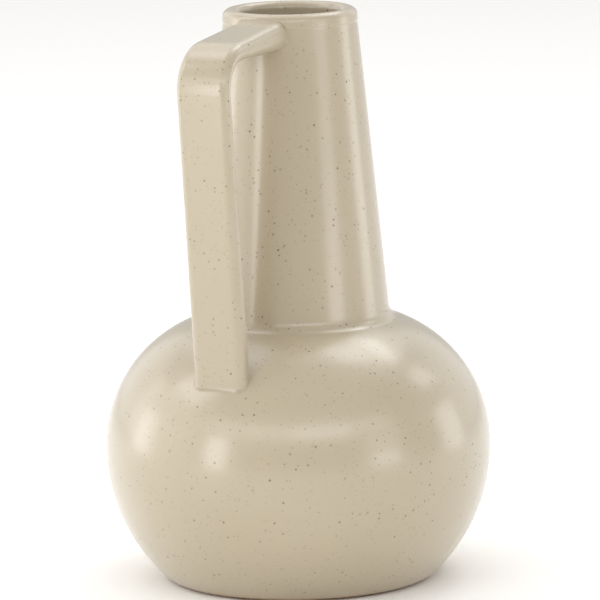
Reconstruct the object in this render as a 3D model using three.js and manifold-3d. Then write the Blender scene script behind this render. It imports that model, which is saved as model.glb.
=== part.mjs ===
// A stoneware bottle vase: a round hollow belly, a long tapered neck with a thick round lip, and one
// strap handle that leaves the neck at the lip, bends square and lands on the shoulder.
// It is built from the pieces that a potter joins with slip: a foot ring, two half shells, the neck,
// the collar worked into the corner below it, the strap, and the slip wiped round the strap's two ends.
// Millimetres. The turned shapes stand on their wheel with Y up, and one group lays them into +Z up.
import * as THREE from "three";
import { mergeVertices } from "three/addons/utils/BufferGeometryUtils.js";
import Module from "manifold-3d";

// Vessel
const height = 250; // table to the crest of the lip
const bellyRadius = 84; // widest point of the belly, outside
const bellyHeight = 58.4; // height of the widest point
const bowlArcRadius = 77.5; // section of the belly below its widest point
const domeArcRadius = 58.9; // section of the belly above its widest point
const wall = 6.1; // wall of belly and neck; the lip is a full round of it
const neckBaseRadius = 41.4; // outside of the neck where it sits on the shoulder
const rimRadius = 28.9; // outside of the neck under the lip
const collarReach = 8.2; // how far the neck's seat runs out past the neck
const collarRadius = 6.3; // hollow of the collar between shoulder and neck
const collarEdge = 0.3; // the collar's top edge is left this thick

// Base
const baseCornerRadius = 5.5; // outside corner between belly and underside
const footLift = 0.8; // the glazed corner stays this far above the table
const footInset = 0.9; // the foot ring stands in from the end of that corner
const footRingWidth = 7;
const footRingHeight = 4;
const baseRecess = 2; // underside of the floor inside the foot ring
const floorThickness = 7;
const innerCornerRadius = 6;

// Joints
const jointGap = 0.3; // room for the slip between two pieces
const lapHeight = 3; // step of the half-lap at the widest point
const spigotHeight = 3; // ring on the shoulder that centres the neck
const seatThickness = 1.7; // least clay left under the neck's seat

// Handle
const handleInset = 1.3; // the leg's outer face, level with the arm's underside, is this far inside the belly
const legLean = THREE.MathUtils.degToRad(4.5); // the leg leans in going down
const armSlope = THREE.MathUtils.degToRad(6.6); // the arm falls going out
const strapWidth = 24.8;
const strapEdgeRadius = 2.2;
const legTopThickness = 5.4;
const legFootThickness = 6.6;
const armRootDepth = 12.2; // top to underside of the arm at the neck
const bendRadius = 20; // outside of the bend
const innerBendRadius = 9.2;
const slipReach = 1.6; // the slip round the strap's ends stands this far out and up

// Facets
const turns = 48; // around the vessel
const arcSteps = 8; // along a long section arc
const cornerSteps = 4; // along a small one

const glaze = { color: 0xd8cdb4, roughness: 0.38, metalness: 0 };
const bareClay = { color: 0xb7a284, roughness: 0.9, metalness: 0 };

const wasm = await Module();
wasm.setup();

/* ---------- section geometry: points are (radius, height) ---------- */

const at = (radius, y) => new THREE.Vector2(radius, y);

// Points on an arc from one angle to the other, both ends included.
function arc(center, radius, from, to, steps) {
  const points = [];
  for (let i = 0; i <= steps; i++) {
    const angle = from + ((to - from) * i) / steps;
    points.push(at(center.x + radius * Math.cos(angle), center.y + radius * Math.sin(angle)));
  }
  return points;
}

const bowlCenter = at(bellyRadius - bowlArcRadius, bellyHeight);
const domeCenter = at(bellyRadius - domeArcRadius, bellyHeight);

// Radius of a section arc at a height, on its outer side.
const arcRadiusAt = (center, radius, y) => center.x + Math.sqrt(radius ** 2 - (y - center.y) ** 2);

// Height of a section arc at a radius, on its upper side.
const arcHeightAt = (center, radius, r) => center.y + Math.sqrt(radius ** 2 - (r - center.x) ** 2);

const seatRadius = neckBaseRadius + collarReach;
const seatHeight = arcHeightAt(domeCenter, domeArcRadius, seatRadius);
const seatAngle = Math.atan2(seatHeight - domeCenter.y, seatRadius - domeCenter.x);
const lipRadius = wall / 2;
const lipHeight = height - lipRadius;
const neckTaper = Math.atan((neckBaseRadius - rimRadius) / (lipHeight - seatHeight));
const neckRadiusAt = (y) => rimRadius + (lipHeight - y) * Math.tan(neckTaper);

// A corner arc that leaves a level face and runs smoothly into the bowl's section from inside it.
// It returns the arc's centre and the angle where it meets the bowl's section.
function bowlCorner(shellRadius, cornerRadius, levelY) {
  const y = levelY + cornerRadius;
  const x = bowlCenter.x + Math.sqrt((shellRadius - cornerRadius) ** 2 - (bellyHeight - y) ** 2);
  return { center: at(x, y), meets: Math.atan2(y - bellyHeight, x - bowlCenter.x) };
}

/* ---------- solids ---------- */

function turned(points) {
  return new THREE.LatheGeometry([...points, points[0]], turns);
}

function toSolid(geometry) {
  const bare = geometry.clone();
  bare.deleteAttribute("normal");
  bare.deleteAttribute("uv");
  const merged = mergeVertices(bare, 1e-4);
  return new wasm.Manifold(
    new wasm.Mesh({
      numProp: 3,
      vertProperties: merged.attributes.position.array,
      triVerts: new Uint32Array(merged.index.array),
    }),
  );
}

function toGeometry(solid) {
  const mesh = solid.getMesh();
  const geometry = new THREE.BufferGeometry();
  geometry.setAttribute("position", new THREE.BufferAttribute(mesh.vertProperties, 3));
  geometry.setIndex(new THREE.BufferAttribute(mesh.triVerts, 1));
  geometry.computeVertexNormals();
  return geometry;
}

function piece(name, geometry, finish) {
  const mesh = new THREE.Mesh(geometry, new THREE.MeshStandardMaterial(finish));
  mesh.name = name;
  return mesh;
}

/* ---------- vessel ---------- */

const outerCorner = bowlCorner(bowlArcRadius, baseCornerRadius, footLift);
const footOuterRadius = outerCorner.center.x - footInset;
const footInnerRadius = footOuterRadius - footRingWidth;

function footRing() {
  const chamfer = 0.8;
  return turned([
    at(footInnerRadius, footRingHeight),
    at(footInnerRadius, chamfer),
    at(footInnerRadius + chamfer, 0),
    at(footOuterRadius - chamfer, 0),
    at(footOuterRadius, chamfer),
    at(footOuterRadius, footRingHeight),
  ]);
}

const lapRadius = bellyRadius - wall / 2;
const lapTop = bellyHeight + lapHeight;
const domeInnerRadius = domeArcRadius - wall;

function lowerBowl() {
  const bottom = -Math.PI / 2;
  const innerArcRadius = bowlArcRadius - wall;
  const floorTop = baseRecess + floorThickness;
  const innerCorner = bowlCorner(innerArcRadius, innerCornerRadius, floorTop);
  return turned([
    at(0, baseRecess),
    at(footInnerRadius - jointGap, baseRecess),
    at(footInnerRadius - jointGap, footRingHeight),
    at(footOuterRadius + jointGap, footRingHeight),
    at(footOuterRadius + jointGap, footLift),
    ...arc(outerCorner.center, baseCornerRadius, bottom, outerCorner.meets, cornerSteps),
    ...arc(bowlCenter, bowlArcRadius, outerCorner.meets, 0, arcSteps).slice(1),
    at(lapRadius, bellyHeight),
    at(lapRadius, lapTop),
    at(arcRadiusAt(domeCenter, domeInnerRadius, lapTop), lapTop),
    ...arc(bowlCenter, innerArcRadius, 0, innerCorner.meets, arcSteps),
    ...arc(innerCorner.center, innerCornerRadius, innerCorner.meets, bottom, cornerSteps).slice(1),
    at(0, floorTop),
  ]);
}

const neckBoreRadius = neckBaseRadius - wall;
const spigotRadius = neckBaseRadius - wall / 2;
const spigotTop = seatHeight + spigotHeight;

// The dome's inner face runs up to the bore, or levels off below the seat where it would cut into it.
function shoulderDome() {
  const innerFaceHeight = arcHeightAt(domeCenter, domeInnerRadius, neckBoreRadius);
  const boreHeight = Math.min(innerFaceHeight, seatHeight - seatThickness);
  const boreArcRadius = arcRadiusAt(domeCenter, domeInnerRadius, boreHeight);
  const boreAngle = Math.atan2(boreHeight - domeCenter.y, boreArcRadius - domeCenter.x);
  const lapInnerY = lapTop + jointGap;
  const lapInnerRadius = arcRadiusAt(domeCenter, domeInnerRadius, lapInnerY);
  const lapAngle = Math.atan2(lapInnerY - domeCenter.y, lapInnerRadius - domeCenter.x);
  return turned([
    at(lapRadius + jointGap, bellyHeight),
    ...arc(domeCenter, domeArcRadius, 0, seatAngle, arcSteps),
    at(spigotRadius - jointGap, seatHeight),
    at(spigotRadius - jointGap, spigotTop),
    at(neckBoreRadius, spigotTop),
    at(neckBoreRadius, boreHeight),
    ...arc(domeCenter, domeInnerRadius, boreAngle, lapAngle, arcSteps),
    at(lapRadius + jointGap, lapInnerY),
  ]);
}

function neck() {
  const lip = at(rimRadius - lipRadius, lipHeight);
  const rebateY = spigotTop + jointGap;
  return turned([
    at(spigotRadius, rebateY),
    at(spigotRadius, seatHeight),
    at(neckBaseRadius, seatHeight),
    ...arc(lip, lipRadius, neckTaper, Math.PI + neckTaper, 2 * cornerSteps),
    at(neckRadiusAt(rebateY) - wall, rebateY),
  ]);
}

// The cove is tangent to the shoulder below and to the neck above: its centre is one cove radius out
// from both. The neck's face runs up and in by the taper, so its outward normal is (cos, sin) of it.
function neckCollar() {
  const normal = at(Math.cos(neckTaper), Math.sin(neckTaper));
  const climb = at(-normal.y, normal.x);
  const start = at(neckBaseRadius, seatHeight).addScaledVector(normal, collarRadius);
  const offset = start.clone().sub(domeCenter);
  const along = offset.dot(climb);
  const reach = domeArcRadius + collarRadius;
  const rise = -along + Math.sqrt(along ** 2 - offset.lengthSq() + reach ** 2);
  const center = start.addScaledVector(climb, rise);
  const toDome = Math.atan2(domeCenter.y - center.y, domeCenter.x - center.x);
  const shortOfNeck = Math.acos(1 - (jointGap + collarEdge) / collarRadius);
  const topAngle = Math.PI + neckTaper + shortOfNeck;
  const cove = arc(center, collarRadius, toDome + 2 * Math.PI, topAngle, 2 * cornerSteps);
  const topY = cove.at(-1).y;
  return turned([
    at(neckBaseRadius + jointGap, seatHeight),
    ...arc(domeCenter, domeArcRadius, seatAngle, toDome + Math.PI, cornerSteps),
    ...cove.slice(1),
    at(neckRadiusAt(topY) + jointGap, topY),
  ]);
}

/* ---------- handle ---------- */

// Solid plugs with the outside of the vessel, grown by an offset. They trim the strap and its slip.
function neckPlug(offset) {
  const lip = at(rimRadius - lipRadius, lipHeight);
  return toSolid(
    turned([
      at(0, seatHeight),
      at(neckBaseRadius + offset, seatHeight),
      ...arc(lip, lipRadius + offset, neckTaper, Math.PI / 2, cornerSteps),
      at(0, height + offset),
    ]),
  );
}

function domePlug(offset) {
  const radius = domeArcRadius + offset;
  return toSolid(
    turned([
      at(0, bellyHeight - wall),
      at(domeCenter.x + radius, bellyHeight - wall),
      ...arc(domeCenter, radius, 0, Math.PI / 2, 2 * arcSteps),
      at(0, domeCenter.y + radius),
    ]),
  );
}

// The strap's four long faces, as lines in (radius, height). The arm's top falls going out, its
// underside is level, and the leg's two faces lean in going down, the inner one more, because the leg
// thickens towards its foot.
const fall = Math.tan(armSlope);
const lean = Math.tan(legLean);
const legTopY = lipHeight - armRootDepth;
const legThickening = (legFootThickness - legTopThickness) / (legTopY - seatHeight);
const innerLean = Math.atan(lean + legThickening);
const legOuterAt = (y) => bellyRadius - handleInset - (legTopY - y) * lean;
const legInnerAt = (y) => legOuterAt(y) - legTopThickness - (legTopY - y) * legThickening;

// The outer bend's centre is one bend radius in from the arm's top and from the leg's outer face,
// which is where y = rise - fall * x crosses x = out + lean * y.
function outerBendCenter() {
  const rise = lipHeight + rimRadius * fall - bendRadius / Math.cos(armSlope);
  const out = legOuterAt(0) - bendRadius / Math.cos(legLean);
  const y = (rise - fall * out) / (1 + fall * lean);
  return at(out + lean * y, y);
}

function innerBendCenter() {
  const y = legTopY - innerBendRadius;
  return at(legInnerAt(y) - innerBendRadius / Math.cos(innerLean), y);
}

// Side outline of the strap, with every face moved out by an offset. It starts and ends inside the
// neck's wall and inside the shoulder, where the plugs trim it.
function strapOutline(offset) {
  const rootX = rimRadius - wall;
  const topY = lipHeight + offset / Math.cos(armSlope);
  const footY = bellyHeight;
  const outer = outerBendCenter();
  const inner = innerBendCenter();
  const outline = new THREE.Shape();
  outline.moveTo(rootX, topY);
  outline.lineTo(rimRadius, topY);
  outline.absarc(outer.x, outer.y, bendRadius + offset, Math.PI / 2 - armSlope, -legLean, true);
  outline.lineTo(legOuterAt(footY) + offset / Math.cos(legLean), footY);
  outline.lineTo(legInnerAt(footY) - offset / Math.cos(innerLean), footY);
  outline.absarc(inner.x, inner.y, innerBendRadius - offset, -innerLean, Math.PI / 2, false);
  outline.lineTo(rootX, legTopY - offset);
  outline.closePath();
  return outline;
}

function strapSolid(offset) {
  const edge = strapEdgeRadius;
  const geometry = new THREE.ExtrudeGeometry(strapOutline(offset), {
    depth: strapWidth + 2 * offset - 2 * edge,
    curveSegments: 2 * cornerSteps,
    bevelThickness: edge,
    bevelSize: edge,
    bevelOffset: -edge,
    bevelSegments: 3,
  });
  geometry.translate(0, 0, edge - strapWidth / 2 - offset);
  return toSolid(geometry);
}

const handleStrap = () => strapSolid(0).subtract(neckPlug(jointGap)).subtract(domePlug(jointGap));

// The slip is a band round the strap that hugs one plug: outside the plug, inside the grown plug.
function slipBand(plug) {
  const band = strapSolid(slipReach).intersect(plug(slipReach + jointGap));
  return band.subtract(plug(jointGap)).subtract(strapSolid(jointGap));
}

/* ---------- assembly ---------- */

const vessel = new THREE.Group();
vessel.add(
  piece("foot_ring", footRing(), bareClay),
  piece("lower_bowl", lowerBowl(), glaze),
  piece("shoulder_dome", shoulderDome(), glaze),
  piece("neck", neck(), glaze),
  piece("neck_collar", neckCollar(), glaze),
);

const handle = new THREE.Group();
handle.rotation.y = Math.PI;
handle.add(
  piece("handle_strap", toGeometry(handleStrap()), glaze),
  piece("handle_top_slip", toGeometry(slipBand(neckPlug)), glaze),
  piece("handle_foot_slip", toGeometry(slipBand(domePlug)), glaze),
);

const wheel = new THREE.Group();
wheel.rotation.x = Math.PI / 2;
wheel.add(vessel, handle);

const vase = new THREE.Group();
vase.add(wheel);

export default vase;
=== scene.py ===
"""Finished look of a speckled stoneware bottle vase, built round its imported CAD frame.

Every clay piece of the frame gets one finished piece that meets its neighbours without a visible seam:
the bare foot ring, the lower bowl, the shoulder, the collar worked into the corner below the neck, the
neck with its thick round lip, the strap handle, and the slip wiped round the strap's two ends.
Sizes are in millimetres in the form classes and turned to metres when a mesh is made.
"""

import logging
import math
from dataclasses import dataclass, field
from enum import Enum
from typing import Callable, Mapping, Sequence

import bpy
import numpy as np
from mathutils import Euler, Matrix, Vector
from numpy.typing import NDArray


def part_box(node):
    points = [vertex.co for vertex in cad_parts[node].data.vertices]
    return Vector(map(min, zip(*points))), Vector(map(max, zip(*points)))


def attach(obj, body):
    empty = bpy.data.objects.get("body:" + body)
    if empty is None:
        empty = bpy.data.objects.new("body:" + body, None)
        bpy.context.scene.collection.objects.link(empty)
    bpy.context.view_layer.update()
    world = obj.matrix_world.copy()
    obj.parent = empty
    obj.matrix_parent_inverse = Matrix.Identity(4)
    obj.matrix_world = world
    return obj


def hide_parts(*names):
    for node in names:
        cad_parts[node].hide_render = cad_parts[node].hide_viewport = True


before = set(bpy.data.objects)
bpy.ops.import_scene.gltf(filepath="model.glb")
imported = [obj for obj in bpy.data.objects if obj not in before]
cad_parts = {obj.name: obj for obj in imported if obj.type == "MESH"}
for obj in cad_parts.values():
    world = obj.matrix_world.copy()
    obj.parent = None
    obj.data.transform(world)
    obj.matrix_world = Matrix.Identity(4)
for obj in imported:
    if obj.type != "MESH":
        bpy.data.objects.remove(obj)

Floats = NDArray[np.float64]
Ints = NDArray[np.int64]

MM = 0.001
BODY = "root"
TINY_MM = 1e-6
SHARP_EDGE = math.radians(40.0)
CREASE_SHADE = "painted_crease_shade"
BARE = "glaze_bare"

# Sockets of a Mix node for colours: its share, its first and second colour, and its result.
SHARE, FIRST, SECOND, MIXED = 0, 6, 7, 2

log = logging.getLogger("vase")


class Slot(Enum):
    """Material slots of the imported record."""

    GLAZE = "speckled_glaze"
    CLAY = "bare_stoneware"


class StrapEnd(Enum):
    """The two ends of the strap handle."""

    NECK = "neck"
    SHOULDER = "shoulder"


# ---------------------------------------------------------------- arrays


def smoothstep(low: float, high: float, values: Floats) -> Floats:
    """Rises smoothly from 0 at low to 1 at high.

    Args:
        low: Value where the rise starts.
        high: Value where it ends.
        values: Values to shape.

    Returns:
        3 t squared minus 2 t cubed, where t is how far a value is from low to high.
    """
    t = np.clip((values - low) / (high - low), 0.0, 1.0)
    return t * t * (3.0 - 2.0 * t)


def arc(center: Floats, radius: float, start: float, end: float, steps: int) -> Floats:
    """Points on a circular arc, both ends included.

    Args:
        center: Centre as (radius, height).
        radius: Radius of the arc.
        start: First angle in radians.
        end: Last angle in radians.
        steps: Number of equal steps between the ends.

    Returns:
        Centre plus radius times (cosine, sine) of each angle, one row a point.
    """
    angles = np.linspace(start, end, steps + 1)
    return center + radius * np.stack([np.cos(angles), np.sin(angles)], axis=1)


def line(start: Sequence[float], end: Sequence[float], steps: int) -> Floats:
    """Points on a straight line, both ends included.

    Args:
        start: First point.
        end: Last point.
        steps: Number of equal steps.

    Returns:
        Start times one less the share of the way, plus end times that share, one row a point.
    """
    share = np.linspace(0.0, 1.0, steps + 1)[:, None]
    return np.asarray(start) * (1.0 - share) + np.asarray(end) * share


def joined(*runs: Floats) -> Floats:
    """Joins runs of section points and drops a point that repeats the one before it.

    Args:
        runs: Arrays with one (radius, height) row a point.

    Returns:
        One array of section points.
    """
    points = np.concatenate([np.atleast_2d(run) for run in runs])
    step = np.linalg.norm(np.diff(points, axis=0), axis=1)
    return points[np.concatenate([[True], step > TINY_MM])]


def unit(vectors: Floats) -> Floats:
    """Vectors divided by their own lengths."""
    return vectors / np.linalg.norm(vectors, axis=-1, keepdims=True)


# ---------------------------------------------------------------- meshes


def grid_quads(rows: int, columns: int, closed_rows: bool) -> Ints:
    """Quads of a grid whose columns run all the way round.

    Args:
        rows: Number of rows.
        columns: Number of columns, the last one joined to the first.
        closed_rows: Whether the last row is joined to the first too.

    Returns:
        Four vertex numbers a face, counted row by row.
    """
    row = np.arange(rows if closed_rows else rows - 1)[:, None]
    column = np.arange(columns)[None, :]
    after = (row + 1) % rows
    beside = (column + 1) % columns
    corners = (
        row * columns + column,
        row * columns + beside,
        after * columns + beside,
        after * columns + column,
    )
    return np.stack(np.broadcast_arrays(*corners), axis=-1).reshape(-1, 4)


def fan(ring: Ints, hub: int) -> Ints:
    """Triangles from a closed ring of vertices to one vertex in its middle.

    Args:
        ring: Vertex numbers in order round the ring.
        hub: Number of the middle vertex.

    Returns:
        Three vertex numbers a face.
    """
    return np.stack([ring, np.roll(ring, -1), np.full_like(ring, hub)], axis=1)


def enclosed_volume(points: Floats, triangles: Ints) -> float:
    """Volume inside a closed mesh, positive when its faces point out.

    Args:
        points: Vertex positions.
        triangles: Three vertex numbers a face.

    Returns:
        A sixth of the sum of the triple products of each face's corners.
    """
    a, b, c = (points[triangles[:, i]] for i in range(3))
    return float(np.einsum("ij,ij->", a, np.cross(b, c)) / 6.0)


@dataclass
class Shape:
    """A closed surface, in millimetres, with two masks at each vertex: painted shade in the hollows, and
    bare clay.
    """

    points: Floats
    quads: Ints
    triangles: Ints
    crease_shade: Floats
    bare: Floats

    def outward(self) -> "Shape":
        """Turns every face round if the surface is inside out.

        Returns:
            The same surface, with its faces pointing out.
        """
        q = self.quads
        split = np.concatenate([q[:, [0, 1, 2]], q[:, [0, 2, 3]], self.triangles])
        if enclosed_volume(self.points, split) < 0.0:
            self.quads = self.quads[:, ::-1]
            self.triangles = self.triangles[:, ::-1]
        return self

    def to_object(self, name: str) -> bpy.types.Object:
        """Makes the Blender object, at the origin, with its place in its mesh.

        Args:
            name: Name of the object and of its mesh.

        Returns:
            The object, linked to the scene.
        """
        self.outward()
        mesh = bpy.data.meshes.new(name)
        faces = self.quads.tolist() + self.triangles.tolist()
        mesh.from_pydata((self.points * MM).tolist(), [], faces)
        mesh.shade_smooth()
        mesh.set_sharp_from_angle(angle=SHARP_EDGE)
        # Two vertex masks: painted shade in the hollows between parts, and bare clay.
        for mask, values in ((CREASE_SHADE, self.crease_shade), (BARE, self.bare)):
            layer = mesh.attributes.new(mask, "FLOAT", "POINT")
            layer.data.foreach_set("value", values.astype(np.float32))
        mesh.validate()
        made = bpy.data.objects.new(name, mesh)
        bpy.context.scene.collection.objects.link(made)
        return made


def turned(section: Floats, turns: int, crease_shade: Floats, bare: Floats) -> Shape:
    """Turns a section about the upright axis.

    A section that starts and ends on the axis closes at two poles, and any other one closes on itself.
    A point of the surface is (r cos a, r sin a, z), with (r, z) from the section and a from the turn.

    Args:
        section: Rows of (radius, height).
        turns: Number of columns round the axis.
        crease_shade: Painted shade at each section point, 0 to 1: how far it darkens the colour.
        bare: How bare the clay is at each section point, 0 to 1.

    Returns:
        The closed surface.
    """
    angle = np.arange(turns) * (2.0 * math.pi / turns)
    poled = bool(section[0, 0] < TINY_MM and section[-1, 0] < TINY_MM)
    rows = slice(1, -1) if poled else slice(None)
    r, z = section[rows, 0][:, None], section[rows, 1][:, None]
    ring = np.stack(np.broadcast_arrays(r * np.cos(angle), r * np.sin(angle), z), axis=-1)
    points = ring.reshape(-1, 3)
    count = ring.shape[0]
    masks = [np.repeat(mask[rows], turns) for mask in (crease_shade, bare)]
    triangles = np.empty((0, 3), dtype=np.int64)
    if poled:
        hubs = len(points), len(points) + 1
        first, last = np.arange(turns), np.arange(turns) + (count - 1) * turns
        ends = np.array([[0.0, 0.0, section[0, 1]], [0.0, 0.0, section[-1, 1]]])
        points = np.concatenate([points, ends])
        triangles = np.concatenate([fan(first[::-1], hubs[0]), fan(last, hubs[1])])
        masks = [np.append(m, [v[0], v[-1]]) for m, v in zip(masks, (crease_shade, bare))]
    return Shape(points, grid_quads(count, turns, not poled), triangles, *masks)


# ---------------------------------------------------------------- forms


@dataclass(frozen=True)
class VesselForm:
    """Section of the turned body in millimetres, as (radius, height)."""

    height: float
    belly_radius: float
    belly_height: float
    bowl_arc_radius: float = 77.5
    dome_arc_radius: float = 58.9
    wall: float = 6.1
    neck_base_radius: float = 41.4
    rim_radius: float = 28.9
    seat_radius: float = 49.6
    collar_radius: float = 6.3
    base_corner_radius: float = 5.5
    foot_lift: float = 0.8
    foot_inset: float = 0.9
    foot_ring_width: float = 7.0
    foot_ring_height: float = 4.0
    foot_edge_radius: float = 1.1
    base_recess: float = 2.0
    floor_thickness: float = 7.0
    inner_corner_radius: float = 6.0
    turns: int = 288

    @classmethod
    def from_frame(cls) -> "VesselForm":
        """Takes the overall sizes from the CAD nodes' boxes."""
        return cls(
            height=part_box("neck")[1].z / MM,
            belly_radius=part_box("lower_bowl")[1].x / MM,
            belly_height=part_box("shoulder_dome")[0].z / MM,
        )

    @property
    def bowl_center(self) -> Floats:
        """Centre of the belly's section arc below the widest point."""
        return np.array([self.belly_radius - self.bowl_arc_radius, self.belly_height])

    @property
    def dome_center(self) -> Floats:
        """Centre of the belly's section arc above the widest point."""
        return np.array([self.belly_radius - self.dome_arc_radius, self.belly_height])

    @property
    def lip_radius(self) -> float:
        """The lip is a full round of the wall."""
        return self.wall / 2.0

    @property
    def lip_center(self) -> Floats:
        """Centre of the lip's round."""
        return np.array([self.rim_radius - self.lip_radius, self.height - self.lip_radius])

    @property
    def seat_height(self) -> float:
        """Height of the dome's arc at the seat radius."""
        reach = self.seat_radius - self.dome_center[0]
        return self.belly_height + math.sqrt(self.dome_arc_radius**2 - reach**2)

    @property
    def taper(self) -> float:
        """Angle between the neck's side and the upright, in radians."""
        rise = self.lip_center[1] - self.seat_height
        return math.atan((self.neck_base_radius - self.rim_radius) / rise)

    def neck_radius(self, height: Floats | float) -> Floats | float:
        """Outside radius of the neck at a height: it shrinks evenly towards the lip."""
        return self.rim_radius + (self.lip_center[1] - height) * math.tan(self.taper)

    def cove(self) -> tuple[Floats, float, float]:
        """Hollow round of the collar, tangent to the shoulder and to the neck.

        Its centre lies one cove radius out from the neck's side and from the dome's arc.

        Returns:
            The centre, the angle where it touches the dome and the angle where it touches the neck.
        """
        normal = np.array([math.cos(self.taper), math.sin(self.taper)])
        climb = np.array([-normal[1], normal[0]])
        start = np.array([self.neck_base_radius, self.seat_height]) + normal * self.collar_radius
        offset = start - self.dome_center
        along = float(offset @ climb)
        reach = self.dome_arc_radius + self.collar_radius
        rise = -along + math.sqrt(along**2 - float(offset @ offset) + reach**2)
        center = start + climb * rise
        towards = self.dome_center - center
        return center, math.atan2(towards[1], towards[0]) + 2.0 * math.pi, math.pi + self.taper

    def corner(self, shell_radius: float, corner_radius: float, level: float) -> tuple[Floats, float]:
        """Corner arc between a level face and the bowl's arc.

        Args:
            shell_radius: Radius of the bowl's arc that the corner runs into.
            corner_radius: Radius of the corner.
            level: Height of the level face.

        Returns:
            The corner's centre and the angle where it runs into the bowl's arc.
        """
        y = level + corner_radius
        drop = self.belly_height - y
        x = self.bowl_center[0] + math.sqrt((shell_radius - corner_radius) ** 2 - drop**2)
        return np.array([x, y]), math.atan2(-drop, x - self.bowl_center[0])

    def neck_gap(self, points: Floats) -> Floats:
        """Distance of points from the outside of the neck and lip, negative inside.

        Below the lip it is measured square to the cone, and above it from the lip's round.

        Args:
            points: Rows of (x, y, z).

        Returns:
            One distance a point.
        """
        r = np.hypot(points[..., 0], points[..., 1])
        z = points[..., 2]
        cone = (r - self.neck_radius(z)) * math.cos(self.taper)
        rim = np.hypot(r - self.lip_center[0], z - self.lip_center[1]) - self.lip_radius
        return np.where(z > self.lip_center[1], rim, cone)

    def dome_gap(self, points: Floats) -> Floats:
        """Distance of points from the outside of the shoulder, negative inside.

        Args:
            points: Rows of (x, y, z).

        Returns:
            Distance from the dome's section centre less the arc's radius, one a point.
        """
        r = np.hypot(points[..., 0], points[..., 1])
        reach = np.hypot(r - self.dome_center[0], points[..., 2] - self.dome_center[1])
        return reach - self.dome_arc_radius


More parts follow.
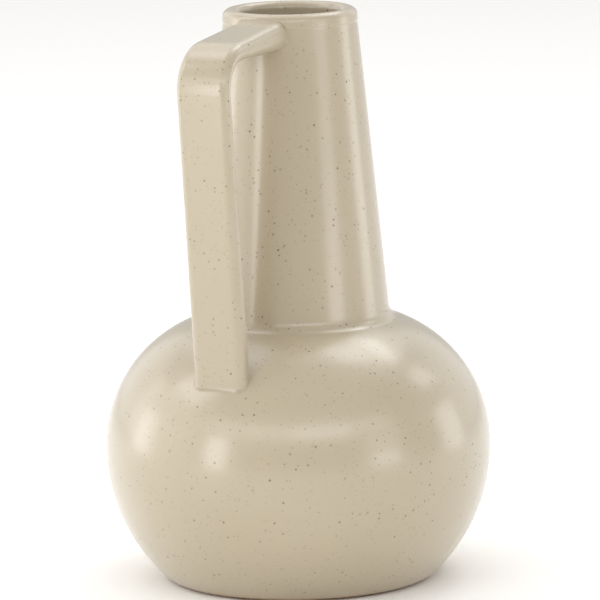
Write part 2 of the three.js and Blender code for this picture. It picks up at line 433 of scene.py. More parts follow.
@dataclass(frozen=True)
class StrapForm:
    """Side outline and cross-section of the strap handle, in millimetres."""

    vessel: VesselForm
    half_width: float
    handle_inset: float = 1.3
    leg_lean: float = math.radians(4.5)
    arm_slope: float = math.radians(6.6)
    leg_top_thickness: float = 5.4
    leg_foot_thickness: float = 6.6
    arm_root_depth: float = 12.2
    bend_radius: float = 20.0
    inner_bend_radius: float = 12.5
    crown: float = 0.2
    # Edge radii at the arm's root, at the end of the arm, at the start of the leg and at its foot.
    outer_edges: tuple[float, float, float, float] = (5.2, 4.4, 3.3, 5.0)
    inner_edges: tuple[float, float, float, float] = (5.2, 3.9, 2.0, 1.4)
    leg_end_rise: float = 14.0
    leg_end_slant: float = 8.0
    corner_steps: int = 12
    face_steps: int = 14
    side_steps: int = 6
    arm_rows: int = 26
    bend_rows: int = 44
    leg_rows: int = 90
    halvings: int = 40

    @classmethod
    def from_frame(cls, vessel: VesselForm) -> "StrapForm":
        """Takes the strap's width from its CAD node's box."""
        return cls(vessel=vessel, half_width=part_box("handle_strap")[1].y / MM)

    @property
    def under_arm(self) -> float:
        """Height of the arm's level underside."""
        return self.vessel.lip_center[1] - self.arm_root_depth

    @property
    def thickening(self) -> float:
        """How much thicker the leg gets for each millimetre down."""
        drop = self.under_arm - self.vessel.seat_height
        return (self.leg_foot_thickness - self.leg_top_thickness) / drop

    def leg_outer(self, height: float) -> float:
        """Distance of the leg's outer face from the axis: it leans in evenly going down."""
        drop = self.under_arm - height
        return self.vessel.belly_radius - self.handle_inset - drop * math.tan(self.leg_lean)

    def leg_inner(self, height: float) -> float:
        """Distance of the leg's inner face from the axis."""
        drop = self.under_arm - height
        return self.leg_outer(height) - self.leg_top_thickness - drop * self.thickening

    def bends(self) -> tuple[Floats, Floats, float]:
        """Centres of the outer and inner bends, and the inner face's lean.

        Each centre lies one bend radius in from the two faces that its bend joins.

        Returns:
            Outer centre, inner centre and the lean in radians.
        """
        lip = self.vessel.lip_center[1]
        fall, lean = math.tan(self.arm_slope), math.tan(self.leg_lean)
        rise = lip + self.vessel.rim_radius * fall - self.bend_radius / math.cos(self.arm_slope)
        out = self.leg_outer(0.0) - self.bend_radius / math.cos(self.leg_lean)
        y = (rise - fall * out) / (1.0 + fall * lean)
        inner_lean = math.atan(lean + self.thickening)
        inner_y = self.under_arm - self.inner_bend_radius
        inner_x = self.leg_inner(inner_y) - self.inner_bend_radius / math.cos(inner_lean)
        return np.array([out + lean * y, y]), np.array([inner_x, inner_y]), inner_lean

    def outline(self) -> tuple[Floats, Floats, Floats, Floats]:
        """Pairs of outer and inner points down the strap, from inside the neck to inside the belly.

        The first and last pairs are the ends of the straight arm and leg, and the rows between them
        follow the two bends by equal shares of their angles.

        Returns:
            Outer points, inner points, outer edge radii and inner edge radii, one row a pair.
        """
        outer_center, inner_center, inner_lean = self.bends()
        root_x = self.vessel.rim_radius - self.vessel.wall
        foot_z = self.vessel.belly_height + self.leg_end_rise
        inner_foot_z = foot_z + self.leg_end_slant
        root_rise = self.vessel.wall * math.tan(self.arm_slope)
        root_outer = [root_x, self.vessel.lip_center[1] + root_rise]
        outer_bend = arc(
            outer_center, self.bend_radius, math.pi / 2 - self.arm_slope, -self.leg_lean, self.bend_rows
        )
        inner_bend = arc(
            inner_center, self.inner_bend_radius, math.pi / 2, -inner_lean, self.bend_rows
        )
        outer = joined(root_outer, outer_bend, [self.leg_outer(foot_z), foot_z])
        inner = joined(
            [root_x, self.under_arm], inner_bend, [self.leg_inner(inner_foot_z), inner_foot_z]
        )
        along = np.linspace(0.0, 1.0, self.bend_rows + 1)
        edges = (
            np.concatenate([[root], arm + (leg - arm) * along, [foot]])
            for root, arm, leg, foot in (self.outer_edges, self.inner_edges)
        )
        return outer, inner, *edges

    def sections(self) -> Floats:
        """Rounded rectangle across the strap at each pair of the outline.

        A corner point is its corner's centre plus the edge radius times (cosine, sine). The points on
        a face share out the way between two corners, closer together near them. Both broad faces are
        crowned: they fall away from their middles with the square of the distance across.

        Returns:
            Rows of sections, columns round each one, and (x, y, z) last.
        """
        outer, inner, outer_edge, inner_edge = self.outline()
        through = outer - inner
        depth = np.linalg.norm(through, axis=1)[:, None]
        w, ro, ri = self.half_width, outer_edge[:, None], inner_edge[:, None]
        quarter = np.linspace(0.0, math.pi / 2, self.corner_steps + 1)[None, :]
        sine, cosine = np.sin(quarter), np.cos(quarter)
        corners = [
            (w - ro + ro * sine, depth - ro + ro * cosine),
            (w - ri + ri * cosine, ri - ri * sine),
            (-w + ri - ri * sine, ri - ri * cosine),
            (-w + ro - ro * cosine, depth - ro + ro * sine),
        ]
        steps = [self.side_steps, self.face_steps, self.side_steps, self.face_steps]
        parts: list[tuple[Floats, Floats]] = []
        for i, (across, up) in enumerate(corners):
            after = corners[(i + 1) % 4]
            share = (1.0 - np.cos(np.linspace(0.0, math.pi, steps[i] + 2)[1:-1])) / 2.0
            run = tuple(
                a[:, -1:] * (1.0 - share) + b[:, :1] * share for a, b in zip((across, up), after)
            )
            parts += [(across, up), run]
        p, q = (np.concatenate([part[i] for part in parts], axis=1) for i in range(2))
        fall = self.crown * (p / w) ** 2
        q = q - fall * (q / depth) + fall * (1.0 - q / depth)
        direction = through / depth
        x = inner[:, :1] + direction[:, :1] * q
        z = inner[:, 1:] + direction[:, 1:] * q
        return np.stack([x, p, z], axis=-1)

    def gap(self, end: StrapEnd) -> Callable[[Floats], Floats]:
        """Distance function of the part of the vessel that an end lands on."""
        return self.vessel.neck_gap if end is StrapEnd.NECK else self.vessel.dome_gap

    def landing(self, end: StrapEnd, depth: float) -> Floats:
        """Where the long lines of the strap reach the vessel.

        Each line of the straight arm or leg is halved again and again between its bend and its hidden
        end, keeping the half in which its distance from the vessel passes the wanted depth.

        Args:
            end: Which end of the strap.
            depth: How far below the vessel's outside the lines are cut.

        Returns:
            One point for each column of the sections.
        """
        rows = self.sections()
        near, far = (rows[1], rows[0]) if end is StrapEnd.NECK else (rows[-2], rows[-1])
        low, high = np.zeros((len(near), 1)), np.ones((len(near), 1))
        for _ in range(self.halvings):
            middle = (low + high) / 2.0
            outside = self.gap(end)(near + (far - near) * middle)[:, None] > -depth
            low, high = np.where(outside, middle, low), np.where(outside, high, middle)
        return near + (far - near) * low


def to_handle_side(points: Floats) -> Floats:
    """Turns points half round the axis, because the handle stands on the -X side."""
    return points * np.array([-1.0, -1.0, 1.0])


# ---------------------------------------------------------------- node materials


def linear(hex_color: str) -> tuple[float, float, float, float]:
    """Turns an sRGB hex colour to linear light.

    Args:
        hex_color: Colour as "#rrggbb".

    Returns:
        Linear red, green and blue, and an alpha of 1.
    """
    srgb = np.array([int(hex_color[i : i + 2], 16) for i in (1, 3, 5)]) / 255.0
    light = np.where(srgb <= 0.04045, srgb / 12.92, ((srgb + 0.055) / 1.055) ** 2.4)
    return (*light.tolist(), 1.0)


def add_node(
    tree: bpy.types.NodeTree,
    kind: str,
    inputs: Mapping[str | int, object] | Sequence[object] = (),
    **settings: object,
) -> bpy.types.Node:
    """Adds one node, with its settings, its numbers and its links.

    Args:
        tree: Tree that gets the node.
        kind: Blender's name of the node type.
        inputs: What goes into each input, by its name or place or in order: a number, a colour, an
            output socket, or a node, which gives its first output.
        settings: Attributes of the node itself.

    Returns:
        The new node.
    """
    made = tree.nodes.new(kind)
    for name, value in settings.items():
        setattr(made, name, value)
    for name, value in inputs.items() if isinstance(inputs, Mapping) else enumerate(inputs):
        if isinstance(value, bpy.types.Node):
            value = value.outputs[0]
        if isinstance(value, bpy.types.NodeSocket):
            tree.links.new(value, made.inputs[name])
        else:
            made.inputs[name].default_value = value
    return made


@dataclass(frozen=True)
class Specks:
    """One size of iron specks that melt out of the clay through the glaze.

    They are small balls strewn in the clay, one for a cell of about cell_mm, and the glaze shows where
    its surface cuts through them, so their spots differ in size as real ones do. Each layer's pattern
    is moved by its seed times shift, so that no two layers fall on each other.
    """

    cell_mm: float
    radius_mm: float
    share: float
    strength: float
    edge_mm: float
    seed: float
    smallest: float = 0.45
    faintest: float = 0.35
    crowd_mm: float = 14.0
    crowding: float = 4.0
    shift: tuple[float, float, float] = (1.0, 0.37, 0.71)

    def mask(self, tree: bpy.types.NodeTree, place: bpy.types.NodeSocket) -> bpy.types.NodeSocket:
        """Adds the nodes of this layer.

        A cell's random red decides whether it holds a speck, its green how large, its blue how dark.
        A cell holds one if its red is over 1 + share - crowding times share times a slow noise, so the
        specks gather in loose crowds. Inside a speck the mask rises from 0 at its rim to 1 at edge_mm in.

        Args:
            tree: Tree that gets the nodes.
            place: Position to read the pattern at.

        Returns:
            0 off the specks, up to strength on them.
        """
        moved = add_node(
            tree,
            "ShaderNodeVectorMath",
            [place, [self.seed * part for part in self.shift]],
            operation="ADD",
        )
        cells = add_node(
            tree, "ShaderNodeTexVoronoi", {"Vector": moved, "Scale": 1.0 / (self.cell_mm * MM)}
        )
        chance = add_node(tree, "ShaderNodeSeparateColor", [cells.outputs["Color"]])
        crowd = add_node(
            tree,
            "ShaderNodeTexNoise",
            {"Vector": place, "Scale": 1.0 / (self.crowd_mm * MM), "Detail": 1.0},
        )
        bound = add_node(
            tree,
            "ShaderNodeMath",
            [crowd, -self.crowding * self.share, 1.0 + self.share],
            operation="MULTIPLY_ADD",
        )
        held = add_node(tree, "ShaderNodeMath", [chance.outputs[0], bound], operation="GREATER_THAN")
        size = add_node(
            tree,
            "ShaderNodeMath",
            [chance.outputs[1], 1.0 - self.smallest, self.smallest],
            operation="MULTIPLY_ADD",
        )
        radius = add_node(
            tree, "ShaderNodeMath", [size, self.radius_mm / self.cell_mm], operation="MULTIPLY"
        )
        inside = add_node(
            tree, "ShaderNodeMath", [radius, cells.outputs["Distance"]], operation="SUBTRACT"
        )
        edge = add_node(tree, "ShaderNodeMath", [inside, self.edge_mm / self.cell_mm], operation="DIVIDE")
        full = add_node(tree, "ShaderNodeClamp", [edge])
        dark = add_node(
            tree,
            "ShaderNodeMath",
            [chance.outputs[2], 1.0 - self.faintest, self.faintest],
            operation="MULTIPLY_ADD",
        )
        there = add_node(tree, "ShaderNodeMath", [full, held], operation="MULTIPLY")
        shown = add_node(tree, "ShaderNodeMath", [there, dark], operation="MULTIPLY")
        scaled = add_node(tree, "ShaderNodeMath", [shown, self.strength], operation="MULTIPLY")
        return scaled.outputs[0]


@dataclass(frozen=True)
class BareStoneware:
    """Unglazed fired stoneware, wiped clean of glaze: dry, gritty and matt, a toasted tan."""

    name: str = "bare_stoneware_fired"
    clay: str = "#b79a72"
    toasted: str = "#a07f58"
    grog: str = "#6b4d33"
    grains: Specks = Specks(
        cell_mm=1.6, radius_mm=0.5, share=0.5, strength=0.8, edge_mm=0.2, seed=3.0
    )
    grit_mm: float = 0.5
    grit_height_mm: float = 0.06
    grit_strength: float = 0.9
    patch_mm: float = 9.0
    roughness: float = 0.86
    roughness_spread: float = 0.12
    ior: float = 1.5

    def color(self, tree: bpy.types.NodeTree, place: bpy.types.NodeSocket) -> bpy.types.NodeSocket:
        """Toasted patches over the clay, with dark grog grains.

        Args:
            tree: Tree that gets the nodes.
            place: Position to read the patterns at.

        Returns:
            The colour.
        """
        patches = add_node(
            tree,
            "ShaderNodeTexNoise",
            {"Vector": place, "Scale": 1.0 / (self.patch_mm * MM), "Detail": 4.0},
        )
        tone = add_node(
            tree,
            "ShaderNodeMix",
            {SHARE: patches, FIRST: linear(self.clay), SECOND: linear(self.toasted)},
            data_type="RGBA",
        )
        grained = add_node(
            tree,
            "ShaderNodeMix",
            {
                SHARE: self.grains.mask(tree, place),
                FIRST: tone.outputs[MIXED],
                SECOND: linear(self.grog),
            },
            data_type="RGBA",
        )
        return grained.outputs[MIXED]

    def height(self, tree: bpy.types.NodeTree, place: bpy.types.NodeSocket) -> bpy.types.NodeSocket:
        """Relief of the grit, as a share of its full height."""
        return add_node(
            tree,
            "ShaderNodeTexNoise",
            {"Vector": place, "Scale": 1.0 / (self.grit_mm * MM), "Detail": 5.0, "Roughness": 0.65},
        ).outputs[0]

    def build(self) -> bpy.types.Material:
        """Makes the material: grit roughens and dents it, about its mean roughness.

        Returns:
            The material.
        """
        made = bpy.data.materials.new(self.name)
        made.use_nodes = True
        tree = made.node_tree
        shader = tree.nodes["Principled BSDF"]
        place = add_node(tree, "ShaderNodeTexCoord").outputs["Object"]
        tree.links.new(self.color(tree, place), shader.inputs["Base Color"])
        grit = self.height(tree, place)
        rough = add_node(
            tree,
            "ShaderNodeMath",
            [grit, self.roughness_spread, self.roughness - self.roughness_spread / 2.0],
            operation="MULTIPLY_ADD",
        )
        tree.links.new(rough.outputs[0], shader.inputs["Roughness"])
        bump = add_node(
            tree,
            "ShaderNodeBump",
            {"Height": grit, "Distance": self.grit_height_mm * MM, "Strength": self.grit_strength},
        )
        tree.links.new(bump.outputs[0], shader.inputs["Normal"])
        shader.inputs["IOR"].default_value = self.ior
        return made


@dataclass(frozen=True)
class SpeckledGlaze:
    """Satin cream glaze fired on iron-bearing stoneware.

    A satin glaze is glass with fine crystals in it, so it mirrors lamps as soft-edged shapes. Iron from
    the clay melts up through it as small dark brown and grey specks, and where it thins over the edge
    of the foot the brown clay shows.
    """

    clay: BareStoneware
    name: str = "satin_cream_glaze_on_stoneware"
    cream: str = "#b0a38c"
    warm: str = "#ac9f85"
    crease_shade_color: str = "#8f8063"
    # Painted shade: the darker colour laid in the hollows at the joints, in the collar and the slip
    # fillets.
    iron: str = "#44351a"
    rust: str = "#6a5b40"
    # How far the colour goes over to that painted shade where the mask is full.
    crease_shade_share: float = 0.6
    ior: float = 1.52
    roughness: float = 0.4
    roughness_spread: float = 0.06
    speck_roughness: float = 0.18
    coat: float = 1.0
    coat_roughness: float = 0.21
    cloud_mm: float = 38.0
    ripple_mm: float = 5.0
    ripple_height_mm: float = 0.012
    speck_dip: float = 0.6
    grit_rise: float = 3.0
    layers: tuple[Specks, ...] = (
        Specks(cell_mm=1.6, radius_mm=0.5, share=0.75, strength=0.5, edge_mm=0.3, seed=0.1),
        Specks(cell_mm=2.4, radius_mm=0.66, share=0.42, strength=0.85, edge_mm=0.34, seed=0.4),
    )

    def build(self) -> bpy.types.Material:
        """Makes the material.

        The colour goes from cream to a warmer cream in clouds, a little darker where painted shade is
        laid in the hollows at the joints, then to rust round the specks and to iron in them, and last to
        bare clay at the foot. The roughness rises in the specks and goes over to the clay's where the
        glaze ends. The relief is a slow ripple, less the dip of a speck, plus the clay's grit where it is
        bare.

        Returns:
            The material.
        """
        made = bpy.data.materials.new(self.name)
        made.use_nodes = True
        tree = made.node_tree
        shader = tree.nodes["Principled BSDF"]
        place = add_node(tree, "ShaderNodeTexCoord").outputs["Object"]
        crease_shade, bare = (
            add_node(tree, "ShaderNodeAttribute", attribute_name=mask).outputs["Fac"]
            for mask in (CREASE_SHADE, BARE)
        )
        clouds = add_node(
            tree,
            "ShaderNodeTexNoise",
            {"Vector": place, "Scale": 1.0 / (self.cloud_mm * MM), "Detail": 3.0},
        )
        # Painted shade in the hollows between parts, read from the vertex mask.
        crease_shading = add_node(tree, "ShaderNodeMath", [crease_shade, self.crease_shade_share], operation="MULTIPLY")
        faint, strong = (layer.mask(tree, place) for layer in self.layers)
        tone: object = linear(self.cream)
        for share, other in (
            (clouds, linear(self.warm)),
            (crease_shading, linear(self.crease_shade_color)),
            (faint, linear(self.rust)),
            (strong, linear(self.iron)),
            (bare, self.clay.color(tree, place)),
        ):
            tone = add_node(
                tree, "ShaderNodeMix", {SHARE: share, FIRST: tone, SECOND: other}, data_type="RGBA"
            ).outputs[MIXED]
        tree.links.new(tone, shader.inputs["Base Color"])

        glossy = add_node(
            tree,
            "ShaderNodeMath",
            [clouds, self.roughness_spread, self.roughness - self.roughness_spread / 2.0],
            operation="MULTIPLY_ADD",
        )
        satin = add_node(
            tree, "ShaderNodeMath", [strong, self.speck_roughness, glossy], operation="MULTIPLY_ADD"
        )
        dry = add_node(tree, "ShaderNodeMath", [self.clay.roughness, satin], operation="SUBTRACT")
        rough = add_node(tree, "ShaderNodeMath", [bare, dry, satin], operation="MULTIPLY_ADD")
        tree.links.new(rough.outputs[0], shader.inputs["Roughness"])

        ripple = add_node(
            tree,
            "ShaderNodeTexNoise",
            {"Vector": place, "Scale": 1.0 / (self.ripple_mm * MM), "Detail": 2.0},
        )
        dipped = add_node(
            tree, "ShaderNodeMath", [strong, -self.speck_dip, ripple], operation="MULTIPLY_ADD"
        )
        grit = add_node(
            tree, "ShaderNodeMath", [self.clay.height(tree, place), bare], operation="MULTIPLY"
        )
        relief = add_node(
            tree, "ShaderNodeMath", [grit, self.grit_rise, dipped], operation="MULTIPLY_ADD"
        )
        bump = add_node(
            tree, "ShaderNodeBump", {"Height": relief, "Distance": self.ripple_height_mm * MM}
        )
        tree.links.new(bump.outputs[0], shader.inputs["Normal"])
        shader.inputs["IOR"].default_value = self.ior
        shader.inputs["Coat Weight"].default_value = self.coat
        shader.inputs["Coat Roughness"].default_value = self.coat_roughness
        return made


# ---------------------------------------------------------------- sub-assemblies


@dataclass
class Finishes:
    """The vase's two finishes, made once."""

    glaze: bpy.types.Material
    clay: bpy.types.Material

    @classmethod
    def build(cls) -> "Finishes":
        """Makes both materials."""
        stoneware = BareStoneware()
        return cls(glaze=SpeckledGlaze(clay=stoneware).build(), clay=stoneware.build())

    def of(self, slot: Slot) -> bpy.types.Material:
        """The material of a record slot."""
        return self.glaze if slot is Slot.GLAZE else self.clay


def dress(shape: Shape, name: str, node: str, slot: Slot, finishes: Finishes) -> bpy.types.Object:
    """Makes a finished piece from its surface and ties it to the frame.

    Args:
        shape: The piece's surface.
        name: The piece's name.
        node: CAD node that it stands for.
        slot: Record slot that its finish comes from.
        finishes: The vase's materials.

    Returns:
        The finished object.
    """
    made = shape.to_object(name)
    made.data.materials.append(finishes.of(slot))
    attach(made, BODY)
    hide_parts(node)
    log.info("%s stands for %s: %d faces", name, node, len(made.data.polygons))
    return made


@dataclass
class TurnedBody:
    """Foot ring, lower bowl, shoulder, collar and neck, all turned about the upright axis."""

    form: VesselForm
    finishes: Finishes
    glaze_line: tuple[float, float] = (0.9, 2.6)
    lip_band_depth: float = 2.2
    lip_band_step: float = 0.5
    lip_band_proud: float = 0.24
    lip_band_rows: int = 7
    # Strength of the painted shade in the collar's hollow.
    collar_shade: float = 0.3

    def _piece(
        self,
        name: str,
        node: str,
        section: Floats,
        slot: Slot = Slot.GLAZE,
        crease_shade: Floats | None = None,
        bare: Floats | None = None,
    ) -> bpy.types.Object:
        """Turns one section and dresses it.

        Args:
            name: The piece's name.
            node: CAD node that it stands for.
            section: Rows of (radius, height).
            slot: Record slot of its finish.
            crease_shade: Painted shade at each section point, none if left out.
            bare: Bareness of the clay at each section point, none if left out.

        Returns:
            The finished object.
        """
        none = np.zeros(len(section))
        shape = turned(
            section, self.form.turns, none if crease_shade is None else crease_shade, none if bare is None else bare
        )
        return dress(shape, name, node, slot, self.finishes)

    def foot_edges(self) -> tuple[float, float]:
        """Inner and outer radius of the foot ring.

        Returns:
            The radii in millimetres: the outer one is inset from where the bowl's corner starts.
        """
        f = self.form
        center, _ = f.corner(f.bowl_arc_radius, f.base_corner_radius, f.foot_lift)
        outer = float(center[0]) - f.foot_inset
        return outer - f.foot_ring_width, outer

    def foot_ring(self) -> bpy.types.Object:
        """The bare ring that the vase stands on, with its two lower edges rounded by a sponge.

        Returns:
            The finished object.
        """
        f = self.form
        inner, outer = self.foot_edges()
        e = f.foot_edge_radius
        section = joined(
            line([inner, f.foot_ring_height], [inner, e], steps=4),
            arc(np.array([inner + e, e]), e, math.pi, 1.5 * math.pi, steps=8),
            line([inner + e, 0.0], [outer - e, 0.0], steps=6),
            arc(np.array([outer - e, e]), e, -math.pi / 2, 0.0, steps=8),
            line([outer, e], [outer, f.foot_ring_height], steps=4),
        )
        return self._piece("foot_ring_bare_clay", "foot_ring", section, Slot.CLAY)

    def lower_bowl(self) -> bpy.types.Object:
        """The belly below its widest point, its floor, and the recess inside the foot ring.

        Returns:
            The finished object, with the glaze ending at the glaze line above the table.
        """
        f = self.form
        inner, outer = self.foot_edges()
        corner, meets = f.corner(f.bowl_arc_radius, f.base_corner_radius, f.foot_lift)
        shell = f.bowl_arc_radius - f.wall
        floor_top = f.base_recess + f.floor_thickness
        inner_corner, inner_meets = f.corner(shell, f.inner_corner_radius, floor_top)
        down = -math.pi / 2
        section = joined(
            line([0.0, f.base_recess], [inner, f.base_recess], steps=14),
            [inner, f.foot_ring_height],
            [outer, f.foot_ring_height],
            line([outer, f.foot_lift], [corner[0], f.foot_lift], steps=3),
            arc(corner, f.base_corner_radius, down, meets, steps=20),
            arc(f.bowl_center, f.bowl_arc_radius, meets, 0.0, steps=84),
            [f.belly_radius - f.wall, f.belly_height],
            arc(f.bowl_center, shell, 0.0, inner_meets, steps=30),
            arc(inner_corner, f.inner_corner_radius, inner_meets, down, steps=8),
            line([inner_corner[0], floor_top], [0.0, floor_top], steps=10),
        )
        outside = section[:, 0] > outer - TINY_MM
        bare = np.where(outside, 1.0 - smoothstep(*self.glaze_line, section[:, 1]), 0.0)
        return self._piece("glazed_lower_bowl", "lower_bowl", section, bare=bare)

    def shoulder_dome(self) -> bpy.types.Object:
        """The belly above its widest point, up to where the collar's hollow touches it.

        Returns:
            The finished object, flat on top where the neck stands.
        """
        f = self.form
        _, touches, _ = f.cove()
        shell = f.dome_arc_radius - f.wall
        bore = f.neck_base_radius - f.wall
        bore_angle = math.acos((bore - f.dome_center[0]) / shell)
        section = joined(
            arc(f.dome_center, f.dome_arc_radius, 0.0, touches - math.pi, steps=84),
            [f.neck_base_radius, f.seat_height],
            [bore, f.seat_height],
            arc(f.dome_center, shell, bore_angle, 0.0, steps=30),
        )
        return self._piece("glazed_shoulder_dome", "shoulder_dome", section)

    def neck_collar(self) -> bpy.types.Object:
        """The hollow round between shoulder and neck, darkened a little by painted shade.

        Returns:
            The finished object, its painted shade following the square of a sine across the hollow.
        """
        f = self.form
        center, dome_angle, neck_angle = f.cove()
        hollow = arc(center, f.collar_radius, dome_angle, neck_angle, steps=22)
        section = joined(hollow, [f.neck_base_radius, f.seat_height])
        # Painted shade across the hollow, strongest in its middle.
        crease_shade = np.append(self.collar_shade * np.sin(np.linspace(0.0, math.pi, len(hollow))) ** 2, 0.0)
        return self._piece("glazed_neck_collar", "neck_collar", section, crease_shade=crease_shade)

    def neck(self) -> bpy.types.Object:
        """The tapered neck with its full round lip.

        A band below the lip stands proud of the neck. It rises smoothly out of the neck at its foot, and
        fades smoothly into the top of the lip.

        Returns:
            The finished object.
        """
        f = self.form
        center, _, neck_angle = f.cove()
        starts = center + f.collar_radius * np.array([math.cos(neck_angle), math.sin(neck_angle)])
        lip = arc(f.lip_center, f.lip_radius, f.taper, math.pi + f.taper, steps=36)
        fade = 1.0 - smoothstep(0.0, f.lip_radius, lip[:, 1] - lip[0, 1])
        lip[:, 0] += self.lip_band_proud * fade * (lip[:, 0] > f.lip_center[0])
        band_foot = f.lip_center[1] - self.lip_band_depth
        heights = np.linspace(band_foot - self.lip_band_step, band_foot, self.lip_band_rows)
        band = np.stack([f.neck_radius(heights), heights], axis=1)
        band[:, 0] += self.lip_band_proud * smoothstep(heights[0], heights[-1], heights)
        section = joined(
            line(starts, band[0], steps=88),
            band,
            lip,
            line(lip[-1], [f.neck_radius(f.seat_height) - f.wall, f.seat_height], steps=60),
            [f.neck_base_radius, f.seat_height],
        )
        return self._piece("glazed_neck_and_lip", "neck", section)

    def build(self) -> list[bpy.types.Object]:
        """Makes the five turned pieces, from the table up."""
        return [
            self.foot_ring(),
            self.lower_bowl(),
            self.shoulder_dome(),
            self.neck_collar(),
            self.neck(),
        ]


@dataclass
class StrapHandle:
    """The strap handle and the slip wiped round its two ends."""

    form: StrapForm
    finishes: Finishes
    bury: float = 2.2
    slip_reach: Mapping[StrapEnd, float] = field(
        default_factory=lambda: {StrapEnd.NECK: 1.6, StrapEnd.SHOULDER: 1.5}
    )
    slip_steps: int = 12
    slip_bury: float = 1.2
    feather: float = 0.02

    def strap(self) -> bpy.types.Object:
        """The strap, with its ends buried in the vessel's wall.

        The rows of the arm and of the leg are shared out evenly between a bend and a buried end.

        Returns:
            The finished object, closed by a fan at each end.
        """
        f = self.form
        rows = f.sections()
        root, foot = (f.landing(end, self.bury) for end in StrapEnd)
        arm_share = np.linspace(0.0, 1.0, f.arm_rows + 1)[:-1, None, None]
        leg_share = np.linspace(0.0, 1.0, f.leg_rows + 1)[1:, None, None]
        arm = root + (rows[1] - root) * arm_share
        leg = rows[-2] + (foot - rows[-2]) * leg_share
        grid = np.concatenate([arm, rows[1:-1], leg])
        count, columns = grid.shape[:2]
        middles = [grid[0].mean(axis=0), grid[-1].mean(axis=0)]
        points = np.concatenate([grid.reshape(-1, 3), middles])
        first, last = np.arange(columns), np.arange(columns) + (count - 1) * columns
        hub = count * columns
        triangles = np.concatenate([fan(first[::-1], hub), fan(last, hub + 1)])
        none = np.zeros(len(points))
        quads = grid_quads(count, columns, closed_rows=False)
        shape = Shape(to_handle_side(points), quads, triangles, crease_shade=none, bare=none)
        return dress(shape, "glazed_handle_strap", "handle_strap", Slot.GLAZE, self.finishes)

    def slip(self, end: StrapEnd, name: str, node: str) -> bpy.types.Object:
        """Hollow fillet of slip round one end of the strap.

        Its section at each column is a curve with its corner on the joint J: from a point A up the
        strap to a point B out on the vessel, as (1-t)^2 A + 2t(1-t) J + t^2 B. It closes inside the
        clay, and both its edges lie just under the surfaces that they fade into.

        Args:
            end: Which end of the strap.
            name: The piece's name.
            node: CAD node that it stands for.

        Returns:
            The finished object.
        """
        f = self.form
        reach = self.slip_reach[end]
        joint = f.landing(end, 0.0)
        rows = f.sections()
        bend = rows[1] if end is StrapEnd.NECK else rows[-2]
        up_strap = unit(bend - joint)
        normal = self._normal(end, joint)
        round_joint = np.roll(joint, -1, axis=0) - np.roll(joint, 1, axis=0)
        away = unit(np.cross(round_joint, normal))
        away = away * np.sign(np.einsum("ij,ij->", away, joint - joint.mean(axis=0)))
        strap_out = unit(away - up_strap * np.einsum("ij,ij->i", away, up_strap)[:, None])
        start = joint + up_strap * reach - strap_out * self.feather
        finish = joint + away * reach
        finish = finish - self._normal(end, finish) * (f.gap(end)(finish)[:, None] + self.feather)
        t = np.linspace(0.0, 1.0, self.slip_steps + 1)[:, None, None]
        hollow = (1.0 - t) ** 2 * start + 2.0 * t * (1.0 - t) * joint + t**2 * finish
        buried = joint - (normal + strap_out) * self.slip_bury
        grid = np.concatenate([hollow, buried[None]])
        # Painted shade in the fillet's hollow, strongest in its middle.
        crease_shade = np.append(np.sin(np.linspace(0.0, math.pi, len(hollow))) ** 2, 0.0)
        columns = grid.shape[1]
        shape = Shape(
            to_handle_side(grid.reshape(-1, 3)),
            grid_quads(len(grid), columns, closed_rows=True),
            np.empty((0, 3), dtype=np.int64),
            crease_shade=np.repeat(crease_shade, columns),
            bare=np.zeros(len(grid) * columns),
        )
        return dress(shape, name, node, Slot.GLAZE, self.finishes)

    def _normal(self, end: StrapEnd, points: Floats) -> Floats:
        """Outward normal of the vessel near points: the slope of its distance function.

        Args:
            end: Which end of the strap, and so which part of the vessel.
            points: Rows of (x, y, z).

        Returns:
            One unit vector a point, from differences over a small step each way.
        """
        step = 1e-4
        gap = self.form.gap(end)
        slope = [gap(points + step * axis) - gap(points - step * axis) for axis in np.eye(3)]
        return unit(np.stack(slope, axis=-1))

    def build(self) -> list[bpy.types.Object]:
        """Makes the strap and both bands of slip."""
        return [
            self.strap(),
            self.slip(StrapEnd.NECK, "glazed_handle_top_slip", "handle_top_slip"),
            self.slip(StrapEnd.SHOULDER, "glazed_handle_foot_slip", "handle_foot_slip"),
        ]


# ---------------------------------------------------------------- studio


@dataclass(frozen=True)
class Softbox:
    """A rectangular studio light, placed round the vase by its direction as the camera sees it.

    Azimuth and elevation are in degrees from the camera's own azimuth and from the table, and width,
    height and distance in metres. A downward light hangs level, and any other one faces the target.
    """

    name: str
    azimuth: float
    elevation: float
    width: float
    height: float
    radiance: float
    distance: float = 1.1
    downward: bool = False

    def build(self, camera_azimuth: float, target: Vector) -> bpy.types.Object:
        """Makes the light.

        Its power is pi times its area times its radiance, which is what a flat lamp of that
        brightness gives off.

        Args:
            camera_azimuth: Azimuth of the camera, in degrees.
            target: Point that the light is placed round.

        Returns:
            The light's object.
        """
        data = bpy.data.lights.new(self.name, "AREA")
        data.shape = "RECTANGLE"
        data.size, data.size_y = self.width, self.height
        data.energy = math.pi * self.width * self.height * self.radiance
        made = bpy.data.objects.new(self.name, data)
        back = direction(camera_azimuth + self.azimuth, self.elevation)
        made.location = target + back * self.distance
        facing = (-back).to_track_quat("-Z", "Y").to_euler()
        level = Euler((0.0, 0.0, math.radians(camera_azimuth)))
        made.rotation_euler = level if self.downward else facing
        made.visible_camera = False
        bpy.context.scene.collection.objects.link(made)
        return made


def direction(azimuth: float, elevation: float) -> Vector:
    """Unit vector from the vase towards a place given in degrees, where azimuth 0 is -Y and 90 is +X."""
    a, e = math.radians(azimuth), math.radians(elevation)
    return Vector((math.sin(a) * math.cos(e), -math.cos(a) * math.cos(e), math.sin(e)))


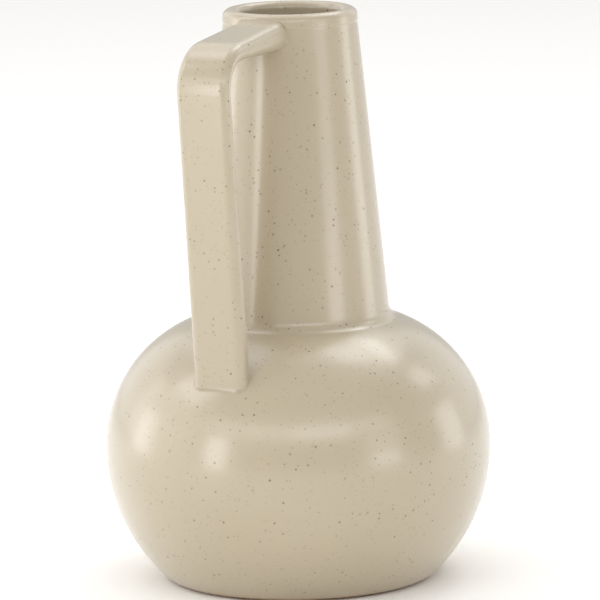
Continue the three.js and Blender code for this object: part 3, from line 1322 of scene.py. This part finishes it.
@dataclass
class Studio:
    """Floor, softboxes, surrounding light and camera. None of it belongs to the vase."""

    camera_azimuth: float = -62.0
    camera_elevation: float = 9.83
    camera_distance: float = 2.397
    target: tuple[float, float, float] = (0.0, 0.0, 0.1217)
    roll: float = math.radians(1.14)
    side_step: float = 0.0019
    lens: float = 330.0
    sensor: float = 36.0
    clip: tuple[float, float] = (0.1, 50.0)
    floor_size: float = 14.0
    floor_color: str = "#fbfaf8"
    floor_roughness: float = 0.95
    floor_gloss: float = 0.1
    ambient: float = 0.54
    # Name, azimuth, elevation, width, height, radiance and, where it isn't the usual one, distance.
    lights: tuple[Softbox, ...] = (
        Softbox("left_strip", -104.0, 4.0, 0.3, 0.45, 2.2),
        Softbox("left_wall", -95.0, 14.0, 1.8, 1.2, 1.0, 1.8),
        Softbox("front_left_strip", -49.0, 5.4, 0.26, 0.45, 5.0),
        Softbox("bank_far_left", -45.0, 25.0, 0.58, 0.22, 1.6),
        Softbox("bank_left", -15.0, 25.0, 0.58, 0.22, 2.1),
        Softbox("bank_right", 15.0, 25.0, 0.58, 0.22, 3.2),
        Softbox("bank_far_right", 45.0, 25.0, 0.58, 0.22, 1.6),
        Softbox("front_right_low", 51.0, -2.0, 0.38, 0.165, 3.4),
        Softbox("front_right_high", 51.0, 9.6, 0.38, 0.285, 1.3),
        Softbox("right_strip", 103.5, 5.4, 0.36, 0.45, 2.3),
        Softbox("left_high", -90.0, 42.0, 0.6, 0.4, 2.8, 1.3),
        Softbox("right_high", 112.0, 34.0, 0.34, 0.26, 2.4, 1.3),
        Softbox("back_right_high", 136.0, 51.0, 0.55, 0.2, 3.5, 1.3),
        Softbox("top_left", -115.0, 66.0, 0.4, 0.35, 1.3, 1.3),
        Softbox("top_right", 130.0, 66.0, 0.4, 0.35, 2.4, 1.3),
        Softbox("ceiling", 0.0, 88.0, 2.2, 2.2, 0.25, 1.7),
        Softbox("far_wall_left", -140.0, 16.0, 3.2, 2.4, 0.6, 4.2),
        Softbox("far_wall_right", 140.0, 16.0, 3.2, 2.4, 0.5, 4.2),
        Softbox("backdrop_bank", 180.0, 53.3, 3.0, 2.6, 0.85, 2.34, downward=True),
    )

    def floor(self) -> bpy.types.Object:
        """A plain pale floor, level with the underside of the foot ring.

        It is matt white backdrop paper, which gives next to no reflection.

        Returns:
            The floor's object, which isn't part of the vase.
        """
        half = self.floor_size / 2.0
        mesh = bpy.data.meshes.new("studio_floor")
        corners = [(-half, -half, 0.0), (half, -half, 0.0), (half, half, 0.0), (-half, half, 0.0)]
        mesh.from_pydata(corners, [], [(0, 1, 2, 3)])
        paper = bpy.data.materials.new("matt_backdrop_paper")
        paper.use_nodes = True
        shader = paper.node_tree.nodes["Principled BSDF"]
        shader.inputs["Base Color"].default_value = linear(self.floor_color)
        shader.inputs["Roughness"].default_value = self.floor_roughness
        shader.inputs["Specular IOR Level"].default_value = self.floor_gloss
        mesh.materials.append(paper)
        made = bpy.data.objects.new("studio_floor", mesh)
        bpy.context.scene.collection.objects.link(made)
        return made

    def camera(self) -> bpy.types.Object:
        """A long lens, slightly above the vase and turned a little about its own line of sight.

        Returns:
            The camera's object, which is made the scene's camera.
        """
        data = bpy.data.cameras.new("studio_camera")
        data.lens, data.sensor_width = self.lens, self.sensor
        data.clip_start, data.clip_end = self.clip
        made = bpy.data.objects.new("studio_camera", data)
        back = direction(self.camera_azimuth, self.camera_elevation)
        place = Vector(self.target) + back * self.camera_distance
        look = (-back).to_track_quat("-Z", "Y").to_matrix() @ Matrix.Rotation(-self.roll, 3, "Z")
        place += look @ Vector((self.side_step, 0.0, 0.0))
        made.matrix_world = Matrix.Translation(place) @ look.to_4x4()
        bpy.context.scene.collection.objects.link(made)
        bpy.context.scene.camera = made
        return made

    def surround(self) -> None:
        """Even light from all round, as from the white walls of a studio."""
        world = bpy.data.worlds.new("white_studio")
        world.use_nodes = True
        back = world.node_tree.nodes["Background"]
        back.inputs["Color"].default_value = linear("#ffffff")
        back.inputs["Strength"].default_value = self.ambient
        bpy.context.scene.world = world

    def build(self) -> None:
        """Makes the whole studio."""
        self.camera()
        self.floor()
        self.surround()
        for light in self.lights:
            light.build(self.camera_azimuth, Vector(self.target))
        bpy.context.scene.view_settings.view_transform = "Standard"


def main() -> None:
    """Builds the studio and the vase, and reports each piece."""
    logging.basicConfig(level=logging.INFO, format="%(name)s: %(message)s")
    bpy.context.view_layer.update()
    Studio().build()
    finishes = Finishes.build()
    vessel = VesselForm.from_frame()
    pieces = TurnedBody(vessel, finishes).build()
    pieces += StrapHandle(StrapForm.from_frame(vessel), finishes).build()
    log.info("%d pieces made", len(pieces))


if __name__ == "__main__":
    main()
